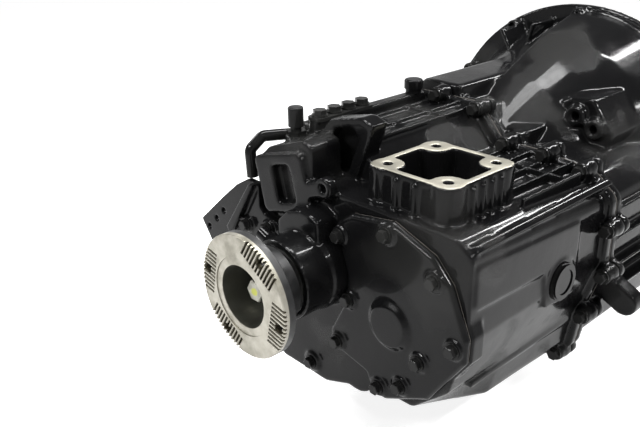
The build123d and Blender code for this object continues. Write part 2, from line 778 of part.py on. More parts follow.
# oil plugs: level plug in the left wall, drain plug in the sump
with BuildPart() as oil_plugs:
    with BuildSketch(Plane(origin=(st(230), 116, -60), x_dir=(1, 0, 0), z_dir=(0, 1, 0))):
        Circle(17)
    extrude(amount=4)
    with BuildSketch(Plane(origin=(st(230), 120, -60), x_dir=(1, 0, 0), z_dir=(0, 1, 0))):
        RegularPolygon(11, 6)
    extrude(amount=8)
    with BuildSketch(Plane(origin=(st(270), -60, -190), x_dir=(1, 0, 0), z_dir=(0, 0, -1))):
        Circle(15)
    extrude(amount=2.5)
    with BuildSketch(Plane(origin=(st(270), -60, -192.5), x_dir=(1, 0, 0), z_dir=(0, 0, -1))):
        RegularPolygon(10, 6)
    extrude(amount=3)
save(oil_plugs.part, "oil_plugs")

# detent cover on the rail, with its row of cap bolts
detent_places = [(st(222) + 25 * i, 64) for i in (-1.5, -0.5, 0.5, 1.5)]
with BuildPart() as detent_cover:
    with BuildSketch(Plane.XY.offset(156)):
        with Locations((st(222), 64)):
            RectangleRounded(100, 24, 6)
    extrude(amount=4)
save(detent_cover.part, "detent_cover")
with BuildPart() as detent_plugs:
    with BuildSketch(Plane.XY.offset(160)):
        with Locations(*detent_places):
            Circle(10.5)
    extrude(amount=2.5)
    with BuildSketch(Plane.XY.offset(162.5)):
        with Locations(*detent_places):
            RegularPolygon(9, 6)
    extrude(amount=6)
save(detent_plugs.part, "detent_plugs")

# capped plug beside the seam, breather, vent pipe
with BuildPart() as lock_plug:
    with BuildSketch(Plane.XY.offset(156)):
        with Locations((st(366), 66)):
            Circle(11)
    extrude(amount=6)
    with BuildSketch(Plane.XY.offset(162)):
        with Locations((st(366), 66)):
            Circle(13)
    extrude(amount=13)
    fillet(lock_plug.faces().sort_by(Axis.Z)[-1].edges(), radius=3)
save(lock_plug.part, "lock_plug")

with BuildPart() as breather:
    with BuildSketch(Plane.XY.offset(BREATHER_SEAT)):
        with Locations(BREATHER):
            RegularPolygon(13, 6)
    extrude(amount=6)
    with BuildSketch(Plane.XY.offset(BREATHER_SEAT + 6)):
        with Locations(BREATHER):
            Circle(7)
    extrude(amount=5)
    with BuildSketch(Plane.XY.offset(BREATHER_SEAT + 11)):
        with Locations(BREATHER):
            Circle(10)
    extrude(amount=25)
    fillet(breather.faces().sort_by(Axis.Z)[-1].edges(), radius=2.5)
save(breather.part, "breather")

pipe_route = [(st(122), 127, 80), (st(121), 128, 116), (st(139), 124, 131), (st(160), 112, 131), (st(174), 103, 131),
              (st(PIPE_END[0]), PIPE_END[1], PIPE_END[2])]
with BuildPart() as vent_pipe:
    with BuildLine():
        route = FilletPolyline(*pipe_route, radius=10)
    with BuildSketch(Plane(origin=route @ 0, z_dir=route % 0)):
        Circle(7.5)
        Circle(5, mode=Mode.SUBTRACT)
    sweep()
save(vent_pipe.part, "vent_pipe")

# bracket plate on the left of the rear wall, with its studs
with BuildPart() as rear_bracket:
    with BuildSketch(across(REAR_WALL - 8)) as plate:
        Polygon(
            (108, 76), (130, 77), (156, 62), (188, 36), (246, -14), (224, -44), (176, -22), (120, -6),
            (70, 2), (64, 30), (100, 36), (108, 44), align=None,
        )
        fillet(plate.vertices(), radius=3.5)
    extrude(amount=8)
    with BuildSketch(across(REAR_WALL - 18)) as web:
        Polygon((109, 76), (117, 76), (172, 0), (166, -10), (156, 0), align=None)
    extrude(amount=10)
    with BuildSketch(across(REAR_WALL - 12)):
        with Locations(*BRACKET_BOLTS):
            Circle(11)
    extrude(amount=12)
    with BuildSketch(across(REAR_WALL)):
        with Locations((127, 6)):
            Rectangle(20, 20)
    extrude(amount=34)
    with BuildSketch(across(REAR_WALL - 20)):
        with Locations((190, 14), (208, -3), (227, -21), *BRACKET_BOLTS):
            Circle(4.5)
    extrude(amount=30, mode=Mode.SUBTRACT)
save(rear_bracket.part, "rear_bracket")

# speed sensor in the nose and reversing light switch in the left wall
with BuildPart() as speed_sensor:
    with BuildSketch(SENSOR_PLANE.offset(40.5)):
        Circle(8)
    extrude(amount=13.5)
    with BuildSketch(SENSOR_PLANE.offset(54)):
        RegularPolygon(12.5, 6)
    extrude(amount=9)
    with BuildSketch(SENSOR_PLANE.offset(63)):
        Circle(9)
    extrude(amount=16)
save(speed_sensor.part, "speed_sensor")
with BuildPart() as reverse_switch:
    with BuildSketch(Plane(origin=(st(330), 116, 40), x_dir=(1, 0, 0), z_dir=(0, 1, 0))):
        RegularPolygon(12, 6)
    extrude(amount=9)
    with BuildSketch(Plane(origin=(st(330), 125, 40), x_dir=(1, 0, 0), z_dir=(0, 1, 0))):
        Circle(8.5)
    extrude(amount=16)
save(reverse_switch.part, "reverse_light_switch")

# =====================================================================================
# Bearings
# =====================================================================================
input_cup = bearing_cup(SEAM + GASKET + 6, (0, 0), 52, PARTITION, 44, True)
save(input_cup, "input_bearing_cup")
save(bearing_cone(SEAM + GASKET + 6, (0, 0), 25, 44, PARTITION, 18), "input_bearing_cone")
save(bearing_cup(REAR_WALL - 2, (0, 0), 49, 22, 42, False), "output_bearing_cup")
save(bearing_cone(REAR_WALL - 2, (0, 0), 24, 42, 22, 17), "output_bearing_cone")

rear_counter_cup = bearing_cup(REAR_WALL + 0.5, COUNTER, 38, 16, 31, False)
front_counter_cup = bearing_cup(SEAM + GASKET + 1.5, COUNTER, 38, 16, 31, True)
save(Compound(children=[rear_counter_cup, front_counter_cup]), "countershaft_bearing_cups")
rear_counter_cone = bearing_cone(REAR_WALL + 0.5, COUNTER, 16, 31, 16, 13)
front_counter_cone = bearing_cone(SEAM + GASKET + 1.5, COUNTER, 16, 31, 16, 13)
save(Compound(children=[rear_counter_cone, front_counter_cone]), "countershaft_bearing_cones")

# =====================================================================================
# Gears
# =====================================================================================
# Each wheel on the main axis has one tooth centred on the line to the countershaft.
counter_phase = {
    name: meshing_phase(main, counter, COUNTER_ANGLE, COUNTER_ANGLE)
    for name, (counter, main) in TEETH.items()
}
input_gear_teeth = TEETH["drive"][1]
with BuildPart() as input_shaft:
    rear, front = WHEELS["drive"]
    with BuildSketch(across(rear)):
        Polygon(*gear_outline(input_gear_teeth, COUNTER_ANGLE), align=None)
    extrude(amount=front - rear)
    with BuildSketch(across(rear - DOG_WIDTH)):
        Polygon(*spline_outline(DOG_RADIUS, 3, 40), align=None)
    extrude(amount=DOG_WIDTH)
    with BuildSketch(across(rear - DOG_WIDTH - BAULK_WIDTH)):
        Circle(CONE_RADIUS)
    extrude(amount=BAULK_WIDTH)
    with BuildSketch(across(front)):
        Circle(30)
    extrude(amount=SEAM + GASKET + 6 - front)
    with BuildSketch(across(front)):
        Circle(25)
    extrude(amount=34)
    with BuildSketch(across(front)):
        Circle(21)
    extrude(amount=190)
    with BuildSketch(across(front + 190)):
        Polygon(*spline_outline(20.5, 2.5, 10), align=None)
    extrude(amount=96)
    with BuildSketch(across(front + 286)):
        Circle(12.5)
    extrude(amount=38)
    chamfer(input_shaft.faces().sort_by(Axis.X)[-1].edges(), length=1.5)
    # socket of the pilot bearing
    with BuildSketch(across(rear - DOG_WIDTH - BAULK_WIDTH)):
        Circle(20)
    extrude(amount=36, mode=Mode.SUBTRACT)
save(input_shaft.part, "input_shaft")

with BuildPart() as pilot_rollers:
    with BuildSketch(across(rear - 2)):
        with PolarLocations(17.3, 14):
            Circle(2.6)
    extrude(amount=22)
save(pilot_rollers.part, "pilot_rollers")


def loose_wheel(name, teeth, dog_side):
    """Loose wheel on the main shaft with its dog teeth and cone on one side (+1 front, -1 rear)."""
    low, high = WHEELS[name]
    with BuildPart() as wheel:
        with BuildSketch(across(low)):
            Polygon(*gear_outline(teeth, COUNTER_ANGLE), align=None)
        extrude(amount=high - low)
        face = high if dog_side > 0 else low
        with BuildSketch(across(face)):
            Polygon(*spline_outline(DOG_RADIUS, 3, 40), align=None)
        extrude(amount=DOG_WIDTH * dog_side)
        with BuildSketch(across(face + DOG_WIDTH * dog_side)):
            Circle(CONE_RADIUS)
        extrude(amount=BAULK_WIDTH * dog_side)
        with BuildSketch(across(low - 10)):
            Circle(MAIN_RADIUS + RUNNING)
        extrude(amount=high - low + 20, mode=Mode.SUBTRACT)
    return wheel.part


save(loose_wheel("6", TEETH["6"][1], 1), "gear_6")
save(loose_wheel("4", TEETH["4"][1], -1), "gear_4")
save(loose_wheel("3", TEETH["3"][1], 1), "gear_3")
save(loose_wheel("2", TEETH["2"][1], -1), "gear_2")
save(loose_wheel("1", TEETH["1"][1], 1), "gear_1")

# reverse train: countershaft pinion, idler and the wheel on the main shaft
idler_reach = MODULE * (REVERSE_IDLER + REVERSE_COUNTER) / 2
idler_main = MODULE * (REVERSE_IDLER + REVERSE_MAIN) / 2
idler_offset = degrees(acos(
    (CENTRE_DISTANCE ** 2 + idler_main ** 2 - idler_reach ** 2) / (2 * CENTRE_DISTANCE * idler_main)
))
IDLER = polar(idler_main, COUNTER_ANGLE + idler_offset)
to_idler = degrees(atan2(IDLER[1] - COUNTER[1], IDLER[0] - COUNTER[0]))
to_main = degrees(atan2(-IDLER[1], -IDLER[0]))
idler_phase = meshing_phase(REVERSE_COUNTER, REVERSE_IDLER, to_idler, to_idler)
reverse_phase = meshing_phase(REVERSE_IDLER, REVERSE_MAIN, to_main, idler_phase)

reverse_low, reverse_high = WHEELS["reverse"]
with BuildPart() as gear_reverse:
    with BuildSketch(across(reverse_low)):
        Polygon(*gear_outline(REVERSE_MAIN, reverse_phase), align=None)
    extrude(amount=reverse_high - reverse_low)
    with BuildSketch(across(reverse_high)):
        Polygon(*spline_outline(DOG_RADIUS, 3, 40), align=None)
    extrude(amount=DOG_WIDTH)
    with BuildSketch(across(reverse_high + DOG_WIDTH)):
        Circle(CONE_RADIUS)
    extrude(amount=BAULK_WIDTH)
    with BuildSketch(across(reverse_low)):
        Circle(MAIN_RADIUS + RUNNING)
    extrude(amount=60, mode=Mode.SUBTRACT)
save(gear_reverse.part, "gear_reverse")

with BuildPart() as reverse_idler:
    with BuildSketch(across(reverse_low + COUNTER_INSET, IDLER)):
        Polygon(*gear_outline(REVERSE_IDLER, idler_phase), align=None)
        Circle(14 + RUNNING, mode=Mode.SUBTRACT)
    extrude(amount=reverse_high - reverse_low - 2 * COUNTER_INSET)
save(reverse_idler.part, "reverse_idler_gear")

with BuildPart() as idler_pin:
    with BuildSketch(across(REAR_INNER, IDLER)):
        Circle(22)
    extrude(amount=10)
    with BuildSketch(across(REAR_INNER, IDLER)):
        Circle(14)
    extrude(amount=38)
    with BuildSketch(across(reverse_high + 1, IDLER)):
        Circle(20)
    extrude(amount=3)
save(idler_pin.part, "reverse_idler_pin")

# countershaft with its three smallest pinions cut on it; the larger wheels are pressed on
counter_low = REAR_WALL + 1.0
counter_high = SEAM + GASKET + 17.0
with BuildPart() as countershaft:
    with BuildSketch(across(counter_low, COUNTER)):
        Circle(16)
    extrude(amount=counter_high - counter_low)
    with BuildSketch(across(REAR_WALL + 17, COUNTER)):
        Circle(COUNTER_RADIUS)
    extrude(amount=SEAM + GASKET + 1 - REAR_WALL - 17)
    for name in ("1", "2"):
        low, high = WHEELS[name]
        with BuildSketch(across(low + COUNTER_INSET, COUNTER)):
            Polygon(*gear_outline(TEETH[name][0], counter_phase[name]), align=None)
        extrude(amount=high - low - 2 * COUNTER_INSET)
    with BuildSketch(across(reverse_low + COUNTER_INSET, COUNTER)):
        Polygon(*gear_outline(REVERSE_COUNTER, to_idler), align=None)
    extrude(amount=reverse_high - reverse_low - 2 * COUNTER_INSET)
save(countershaft.part, "countershaft")


def pressed_wheel(name):
    """Toothed wheel pressed on the countershaft, with a lightened web when it is large."""
    low, high = WHEELS[name]
    teeth = TEETH[name][0]
    with BuildPart() as wheel:
        with BuildSketch(across(low + COUNTER_INSET, COUNTER)):
            Polygon(*gear_outline(teeth, counter_phase[name]), align=None)
            Circle(COUNTER_RADIUS, mode=Mode.SUBTRACT)
        extrude(amount=high - low - 2 * COUNTER_INSET)
        web_outer = MODULE * teeth / 2 - 15
        if web_outer > 45:
            for face, way in ((low + COUNTER_INSET, 1), (high - COUNTER_INSET, -1)):
                with BuildSketch(across(face, COUNTER)):
                    Circle(web_outer)
                    Circle(34, mode=Mode.SUBTRACT)
                extrude(amount=2.5 * way, mode=Mode.SUBTRACT)
    return wheel.part


save(pressed_wheel("drive"), "countershaft_drive_gear")
save(pressed_wheel("6"), "countershaft_gear_6")
save(pressed_wheel("4"), "countershaft_gear_4")
save(pressed_wheel("3"), "countershaft_gear_3")

# =====================================================================================
# Main shaft, synchronisers and output flange
# =====================================================================================
with BuildPart() as main_shaft:
    with BuildSketch(across(CUP_DEPTH + 8)):
        Circle(OUTPUT_RADIUS - 1)
    extrude(amount=REAR_WALL - CUP_DEPTH - 8)
    with BuildSketch(across(REAR_WALL - 2)):
        Circle(24)
    extrude(amount=24)
    with BuildSketch(across(REAR_WALL + 21)):
        Circle(MAIN_RADIUS)
    extrude(amount=HUBS["56"] + HUB_WIDTH / 2 - REAR_WALL - 21)
    with BuildSketch(across(HUBS["56"] + HUB_WIDTH / 2 - 1)):
        Circle(14.4)
    extrude(amount=36)
    # tapped hole of the flange bolt
    with BuildSketch(across(CUP_DEPTH)):
        Circle(8)
    extrude(amount=52, mode=Mode.SUBTRACT)
save(main_shaft.part, "main_shaft")


def hub_outline():
    """Outline of a synchroniser hub with three slots for its keys."""
    with BuildSketch() as outline:
        Circle(DOG_RADIUS)
        Circle(MAIN_RADIUS, mode=Mode.SUBTRACT)
        with PolarLocations(DOG_RADIUS, 3):
            Rectangle(9, 12, mode=Mode.SUBTRACT)
    return outline.sketch


with BuildPart() as synchro_hubs:
    for centre in HUBS.values():
        with BuildSketch(across(centre - HUB_WIDTH / 2)):
            add(hub_outline())
        extrude(amount=HUB_WIDTH)
save(synchro_hubs.part, "synchro_hubs")

with BuildPart() as baulk_rings:
    for name, centre in HUBS.items():
        sides = (-1,) if name == "reverse" else (-1, 1)
        for side in sides:
            with BuildSketch(across(centre + side * (HUB_WIDTH / 2 + 0.5))):
                Circle(53.2)
                Circle(CONE_RADIUS + 0.6, mode=Mode.SUBTRACT)
            extrude(amount=BAULK_WIDTH * side)
save(baulk_rings.part, "baulk_rings")

for name, centre in HUBS.items():
    with BuildPart() as sleeve:
        with BuildSketch(across(centre - SLEEVE_WIDTH / 2)):
            Circle(SLEEVE_OUTER)
        extrude(amount=SLEEVE_WIDTH)
        chamfer(sleeve.edges().filter_by(GeomType.CIRCLE), length=0.8)
        with BuildSketch(across(centre - GROOVE_WIDTH / 2)):
            Circle(SLEEVE_OUTER + 1)
            Circle(GROOVE_FLOOR, mode=Mode.SUBTRACT)
        extrude(amount=GROOVE_WIDTH, mode=Mode.SUBTRACT)
        with BuildSketch(across(centre - SLEEVE_WIDTH / 2)):
            Circle(SLEEVE_BORE)
        extrude(amount=SLEEVE_WIDTH, mode=Mode.SUBTRACT)
    save(sleeve.part, f"sleeve_{name}")

# selector rails, each with its fork and its gate below the tower opening
for name, centre in HUBS.items():
    rail_y = RAILS[name]
    with BuildPart() as rail:
        with BuildSketch(across(136, (rail_y, RAIL_Z))):
            Circle(RAIL_RADIUS)
        extrude(amount=SEAM + GASKET + 9 - 136)
        # gate that the shift finger pushes, below the tower opening
        with BuildSketch(beside(rail_y - 6)):
            Polygon(
                (st(190), 60), (st(212), 60), (st(212), 94), (st(207), 94), (st(207), 78), (st(195), 78),
                (st(195), 94), (st(190), 94), align=None,
            )
        extrude(amount=-12)
    save(rail.part, f"rail_{name}")
    with BuildPart() as fork:
        with BuildSketch(across(centre - 3.2)) as yoke:
            Circle(80)
            Circle(GROOVE_FLOOR + 0.5, mode=Mode.SUBTRACT)
            with Locations((48, -56)):
                Rectangle(190, 120, rotation=-25, mode=Mode.SUBTRACT)
            Polygon(
                (-48, 46), (-34, 62), (-78, 56.5), (rail_y + 7, 56.5), (rail_y, 72), (rail_y - 14, 60),
                (rail_y - 9, 44), (-78, 38), (-70, 20), align=None,
            )
            with Locations((rail_y, RAIL_Z)):
                Circle(14)
            Circle(GROOVE_FLOOR + 0.5, mode=Mode.SUBTRACT)
            with Locations((rail_y, RAIL_Z)):
                Circle(RAIL_RADIUS, mode=Mode.SUBTRACT)
        extrude(amount=6.4)
    save(fork.part, f"fork_{name}")

# output flange: face with four fields of cross teeth, deep cup, hub into the nose
with BuildPart() as output_flange:
    with BuildSketch(across(0)):
        Circle(FLANGE_RADIUS)
    extrude(amount=FLANGE_THICK)
    chamfer(output_flange.edges().filter_by(GeomType.CIRCLE), length=1.2)
    with BuildSketch(across(FLANGE_THICK)):
        Circle(52)
    with BuildSketch(across(48)):
        Circle(46.5)
    loft()
    with BuildSketch(across(48)):
        Circle(33)
    extrude(amount=REAR_WALL - 2 - 48)
    with BuildSketch(across(0)):
        Circle(FLANGE_BORE)
    extrude(amount=CUP_DEPTH, mode=Mode.SUBTRACT)
    with BuildSketch(across(0)):
        Circle(48)
        Circle(FLANGE_BORE, mode=Mode.SUBTRACT)
    extrude(amount=1.2, mode=Mode.SUBTRACT)
    with BuildSketch(across(0)):
        Circle(OUTPUT_RADIUS - 1)
    extrude(amount=REAR_WALL, mode=Mode.SUBTRACT)
    for step in FLANGE_STEPS:
        angle = FLANGE_FIRST + step
        y, z = polar(TEETH_RADIUS, angle)
        radial = Plane(
            origin=(st(0), y, z), x_dir=(0, -sin(radians(angle)), cos(radians(angle))),
            z_dir=(0, cos(radians(angle)), sin(radians(angle))),
        )
        depth = TEETH_DEPTH if radial.y_dir.X > 0 else -TEETH_DEPTH
        with BuildSketch(radial):
            with Locations(*[(TEETH_PITCH * k, 0) for k in range(-TEETH_SIDE, TEETH_SIDE + 1)]):
                Polygon((-2.0, -0.3 * depth), (2.0, -0.3 * depth), (0.9, depth), (-0.9, depth), align=None)
        extrude(amount=FLANGE_RADIUS - TEETH_RADIUS + 5, mode=Mode.SUBTRACT)
    with BuildSketch(across(0)):
        with Locations(*[polar(FLANGE_PITCH_RADIUS, FLANGE_FIRST + step) for step in FLANGE_STEPS]):
            Circle(FLANGE_HOLE)
    extrude(amount=FLANGE_THICK + 4, mode=Mode.SUBTRACT)
save(output_flange.part, "output_flange")

with BuildPart() as flange_bolt:
    with BuildSketch(across(CUP_DEPTH - 5)):
        Circle(27)
        Circle(8, mode=Mode.SUBTRACT)
    extrude(amount=5)
    with BuildSketch(across(NUT_FACE + 12)):
        Circle(13)
        Circle(8, mode=Mode.SUBTRACT)
    extrude(amount=CUP_DEPTH - NUT_FACE - 17)
    with BuildSketch(across(NUT_FACE)):
        RegularPolygon(13.9, 6)
    extrude(amount=12)
    chamfer(flange_bolt.faces().sort_by(Axis.X)[0].edges(), length=1.2)
    with BuildSketch(across(NUT_FACE)):
        Circle(8)
    extrude(amount=CUP_DEPTH - NUT_FACE + 43)
save(flange_bolt.part, "flange_bolt")

with BuildPart() as pulse_wheel:
    with BuildSketch(across(84)):
        Polygon(*spline_outline(38.3, 2.5, 24), align=None)
        Circle(33, mode=Mode.SUBTRACT)
    extrude(amount=14)
save(pulse_wheel.part, "pulse_wheel")
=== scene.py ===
"""Looks of a six-speed truck transmission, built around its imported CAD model.

Castings get a skin with rounded foundry edges; every other node keeps its CAD mesh and gets its material.
"""
import json
import math

import bpy
from mathutils import Matrix, Vector


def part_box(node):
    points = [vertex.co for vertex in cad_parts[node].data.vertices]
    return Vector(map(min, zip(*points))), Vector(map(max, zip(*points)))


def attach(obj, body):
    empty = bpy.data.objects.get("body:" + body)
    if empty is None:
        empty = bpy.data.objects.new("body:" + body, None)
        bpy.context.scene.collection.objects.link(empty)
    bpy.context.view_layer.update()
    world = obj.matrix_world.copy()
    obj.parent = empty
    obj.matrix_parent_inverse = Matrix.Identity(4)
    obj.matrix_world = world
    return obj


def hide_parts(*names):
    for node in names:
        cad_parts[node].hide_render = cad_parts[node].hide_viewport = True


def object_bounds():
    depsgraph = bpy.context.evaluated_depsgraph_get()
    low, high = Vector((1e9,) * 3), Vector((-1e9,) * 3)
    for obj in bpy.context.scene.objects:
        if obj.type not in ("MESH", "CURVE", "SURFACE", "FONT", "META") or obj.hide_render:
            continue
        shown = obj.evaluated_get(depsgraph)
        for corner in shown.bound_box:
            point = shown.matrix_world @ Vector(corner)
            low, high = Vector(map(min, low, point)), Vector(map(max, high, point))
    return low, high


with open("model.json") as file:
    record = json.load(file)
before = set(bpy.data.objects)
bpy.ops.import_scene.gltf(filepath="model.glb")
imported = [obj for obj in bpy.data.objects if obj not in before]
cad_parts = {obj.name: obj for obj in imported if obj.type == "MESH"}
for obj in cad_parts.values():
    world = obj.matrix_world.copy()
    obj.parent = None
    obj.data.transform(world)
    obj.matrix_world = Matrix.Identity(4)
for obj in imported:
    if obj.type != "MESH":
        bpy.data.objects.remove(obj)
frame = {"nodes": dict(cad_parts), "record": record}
nodes = frame["nodes"]
record = frame["record"]
cad_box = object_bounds()
scene = bpy.context.scene
scene.view_settings.view_transform = "Standard"

SLOT_OF = {part["node"]: part["material_slot"] for part in record["subparts"]}
BODY_OF = {node: body for body, members in record["behaviour"]["bodies"].items() for node in members}
MOUNTS = {mount["name"]: mount for mount in record["mounts"]}

# --- Camera ---------------------------------------------------------------------------------------
CAMERA_PLACE = Vector((-1.1514, -0.6176, 0.4294))
CAMERA_AZIMUTH = math.radians(-42.565)
CAMERA_ELEVATION = math.radians(23.473)
CAMERA_ROLL = math.radians(-1.151)
CAMERA_LENS = 42.98
CAMERA_SENSOR = 36.0


def add_camera():
    """Camera behind the output flange, to its right and above, with a slight roll."""
    azimuth, elevation = CAMERA_AZIMUTH, CAMERA_ELEVATION
    back = Vector((
        math.sin(azimuth) * math.cos(elevation),
        -math.cos(azimuth) * math.cos(elevation),
        math.sin(elevation),
    ))
    right = Vector((0, 0, 1)).cross(back).normalized()
    up = back.cross(right)
    rolled_right = math.cos(CAMERA_ROLL) * right + math.sin(CAMERA_ROLL) * up
    rolled_up = -math.sin(CAMERA_ROLL) * right + math.cos(CAMERA_ROLL) * up
    data = bpy.data.cameras.new("camera")
    data.lens = CAMERA_LENS
    data.sensor_width = CAMERA_SENSOR
    data.clip_start = 0.01
    data.dof.use_dof = False
    camera = bpy.data.objects.new("camera", data)
    turn = Matrix((rolled_right, rolled_up, back)).transposed().to_4x4()
    camera.matrix_world = Matrix.Translation(CAMERA_PLACE) @ turn
    scene.collection.objects.link(camera)
    scene.camera = camera


# --- Materials ------------------------------------------------------------------------------------
class Shader:
    """A Principled material with short calls for adding and joining its nodes."""

    def __init__(self, name, color, roughness, metallic=0.0):
        self.material = bpy.data.materials.new(name)
        self.material.use_nodes = True
        self.tree = self.material.node_tree
        self.bsdf = self.tree.nodes["Principled BSDF"]
        self.bsdf.inputs["Base Color"].default_value = (*color, 1)
        self.bsdf.inputs["Roughness"].default_value = roughness
        self.bsdf.inputs["Metallic"].default_value = metallic
        self.place = self.tree.nodes.new("ShaderNodeTexCoord").outputs["Object"]
        self.normal = None

    def link(self, output, socket):
        self.tree.links.new(output, socket)

    def noise(self, scale, detail=2.0, roughness=0.5, stretch=None):
        """Noise over the object's own space, its value from about 0.25 to 0.75."""
        node = self.tree.nodes.new("ShaderNodeTexNoise")
        node.inputs["Scale"].default_value = scale
        node.inputs["Detail"].default_value = detail
        node.inputs["Roughness"].default_value = roughness
        source = self.place
        if stretch:
            mapping = self.tree.nodes.new("ShaderNodeMapping")
            mapping.inputs["Scale"].default_value = stretch
            self.link(self.place, mapping.inputs["Vector"])
            source = mapping.outputs["Vector"]
        self.link(source, node.inputs["Vector"])
        return node.outputs["Fac"]

    def ramp(self, value, low, high, out_low=0.0, out_high=1.0):
        """Smooth step of a value between two levels."""
        node = self.tree.nodes.new("ShaderNodeMapRange")
        node.interpolation_type = "SMOOTHSTEP"
        node.inputs["From Min"].default_value = low
        node.inputs["From Max"].default_value = high
        node.inputs["To Min"].default_value = out_low
        node.inputs["To Max"].default_value = out_high
        self.link(value, node.inputs["Value"])
        return node.outputs["Result"]

    def math(self, operation, first, second):
        node = self.tree.nodes.new("ShaderNodeMath")
        node.operation = operation
        for socket, value in zip(node.inputs, (first, second)):
            if isinstance(value, (int, float)):
                socket.default_value = value
            else:
                self.link(value, socket)
        return node.outputs[0]

    def product(self, first, *others):
        """First value times each of the others."""
        for other in others:
            first = self.math("MULTIPLY", first, other)
        return first

    def from_axis(self):
        """Distance from the shafts' common axis, the object's X."""
        _, y, z = self.axes()
        squares = self.math("ADD", self.product(y, y), self.product(z, z))
        return self.math("SQRT", squares, 0)

    def mix(self, share, first, second):
        """Colour between two colours, or sockets, by a share."""
        node = self.tree.nodes.new("ShaderNodeMix")
        node.data_type = "RGBA"
        self.link(share, node.inputs["Factor"])
        for socket, value in ((node.inputs[6], first), (node.inputs[7], second)):
            if isinstance(value, tuple):
                socket.default_value = (*value, 1)
            else:
                self.link(value, socket)
        return node.outputs[2]

    def bump(self, height, strength, distance):
        """Add one layer of bump on top of the earlier ones."""
        node = self.tree.nodes.new("ShaderNodeBump")
        node.inputs["Distance"].default_value = distance
        if isinstance(strength, (int, float)):
            node.inputs["Strength"].default_value = strength
        else:
            self.link(strength, node.inputs["Strength"])
        self.link(height, node.inputs["Height"])
        if self.normal:
            self.link(self.normal, node.inputs["Normal"])
        self.normal = node.outputs["Normal"]
        self.link(self.normal, self.bsdf.inputs["Normal"])

    def edges(self, low, high):
        """Share of edge, from the mesh's pointiness."""
        geometry = self.tree.nodes.new("ShaderNodeNewGeometry")
        return self.ramp(geometry.outputs["Pointiness"], low, high)

    def axes(self):
        """The object's own x, y and z."""
        node = self.tree.nodes.new("ShaderNodeSeparateXYZ")
        self.link(self.place, node.inputs[0])
        return node.outputs

    def color(self, output):
        self.link(output, self.bsdf.inputs["Base Color"])

    def rough(self, output):
        self.link(output, self.bsdf.inputs["Roughness"])


BLACK = (0.0035, 0.0035, 0.0037)
DUSTY = (0.020, 0.020, 0.019)
BARE = (0.33, 0.315, 0.27)
BARE_DARK = (0.19, 0.18, 0.145)
# painted shade: dark brown for the grooves between the output flange's cross teeth
GROOVE_SHADE = (0.085, 0.075, 0.05)
CUP_TONE = (0.085, 0.085, 0.070)
ZINC = (0.34, 0.335, 0.29)
ZINC_DARK = (0.20, 0.19, 0.165)
YELLOW_DAB = (0.36, 0.37, 0.08)

PAINT_COAT = 0.14
PAINT_SPECULAR = 0.05
MACHINED_DEPTH = (0.0012, 0.0007)    # below a machined face, bare metal begins and is full
TOWER_REACH = 0.070                  # from the tower's centre past its corners

# The output flange: lengths forward of its face, and radii.
FLANGE_PAINT = (0.0065, 0.0075)      # the rim is bare before this stretch and painted after it
FLANGE_END = 0.13                    # the flange and its bolt's head lie within this length
FLANGE_CUP = 0.0386                  # radius of the cup in its face
CUP_EDGE = (0.0015, 0.0025)          # depth where the cup's darker tone begins and is full
TEETH_RING = (0.0495, 0.0745)        # inner and outer radius of the cross teeth
TEETH_EDGE = (0.0004, 0.0022)        # depth where the painted shade in the grooves between the teeth begins and is full
DAB_RADIUS = (0.0008, 0.0030)        # the yellow dab on the bolt's head fades between these
DAB_RAGGED = 0.006                   # how far the noise pushes its outline out


def tower_zone(s):
    """Share of bare metal on the shift tower's machined top."""
    middle_x, middle_y, top = MOUNTS["tower_bolts"]["pos_m"]
    begin, full = MACHINED_DEPTH
    x, y, z = s.axes()
    zone = s.ramp(z, top - begin, top - full)
    for axis, middle in ((x, middle_x), (y, middle_y)):
        away = s.math("ABSOLUTE", s.math("SUBTRACT", axis, middle), 0)
        zone = s.product(zone, s.math("LESS_THAN", away, TOWER_REACH))
    return zone


def bell_zone(s):
    """Share of bare metal on the bell's machined mounting face."""
    begin, full = MACHINED_DEPTH
    return s.ramp(s.axes()[0], -begin, -full)


def paint(name, grain, zone_of=None):
    """Gloss black enamel over cast metal, bare in the zone that a function of the shader gives."""
    s = Shader(name, BLACK, 0.16)
    s.bsdf.inputs["Coat Weight"].default_value = PAINT_COAT
    s.bsdf.inputs["Coat Roughness"].default_value = 0.05
    s.bsdf.inputs["Specular IOR Level"].default_value = PAINT_SPECULAR
    patches = s.ramp(s.noise(7, 3), 0.50, 0.62)
    worn = s.edges(0.53, 0.60)
    tint = s.math("ADD", s.product(worn, 0.35), s.product(patches, 0.4))
    color = s.mix(tint, BLACK, DUSTY)
    rough = s.ramp(s.noise(16, 4), 0.3, 0.7, 0.10, 0.26)
    s.bump(s.noise(38, 3), 0.25, 0.0012)
    s.bump(s.noise(230, 2), 0.18, 0.0005)
    s.bump(s.noise(620, 4, 0.7), s.product(patches, grain), 0.0006)
    if zone_of:
        zone = zone_of(s)
        bare = s.mix(s.noise(60, 4), BARE, BARE_DARK)
        color = s.mix(zone, color, bare)
        rough = s.math("ADD", rough, s.product(zone, 0.3))
        s.link(s.product(zone, 0.8), s.bsdf.inputs["Metallic"])
    s.color(color)
    s.rough(rough)
    return s.material


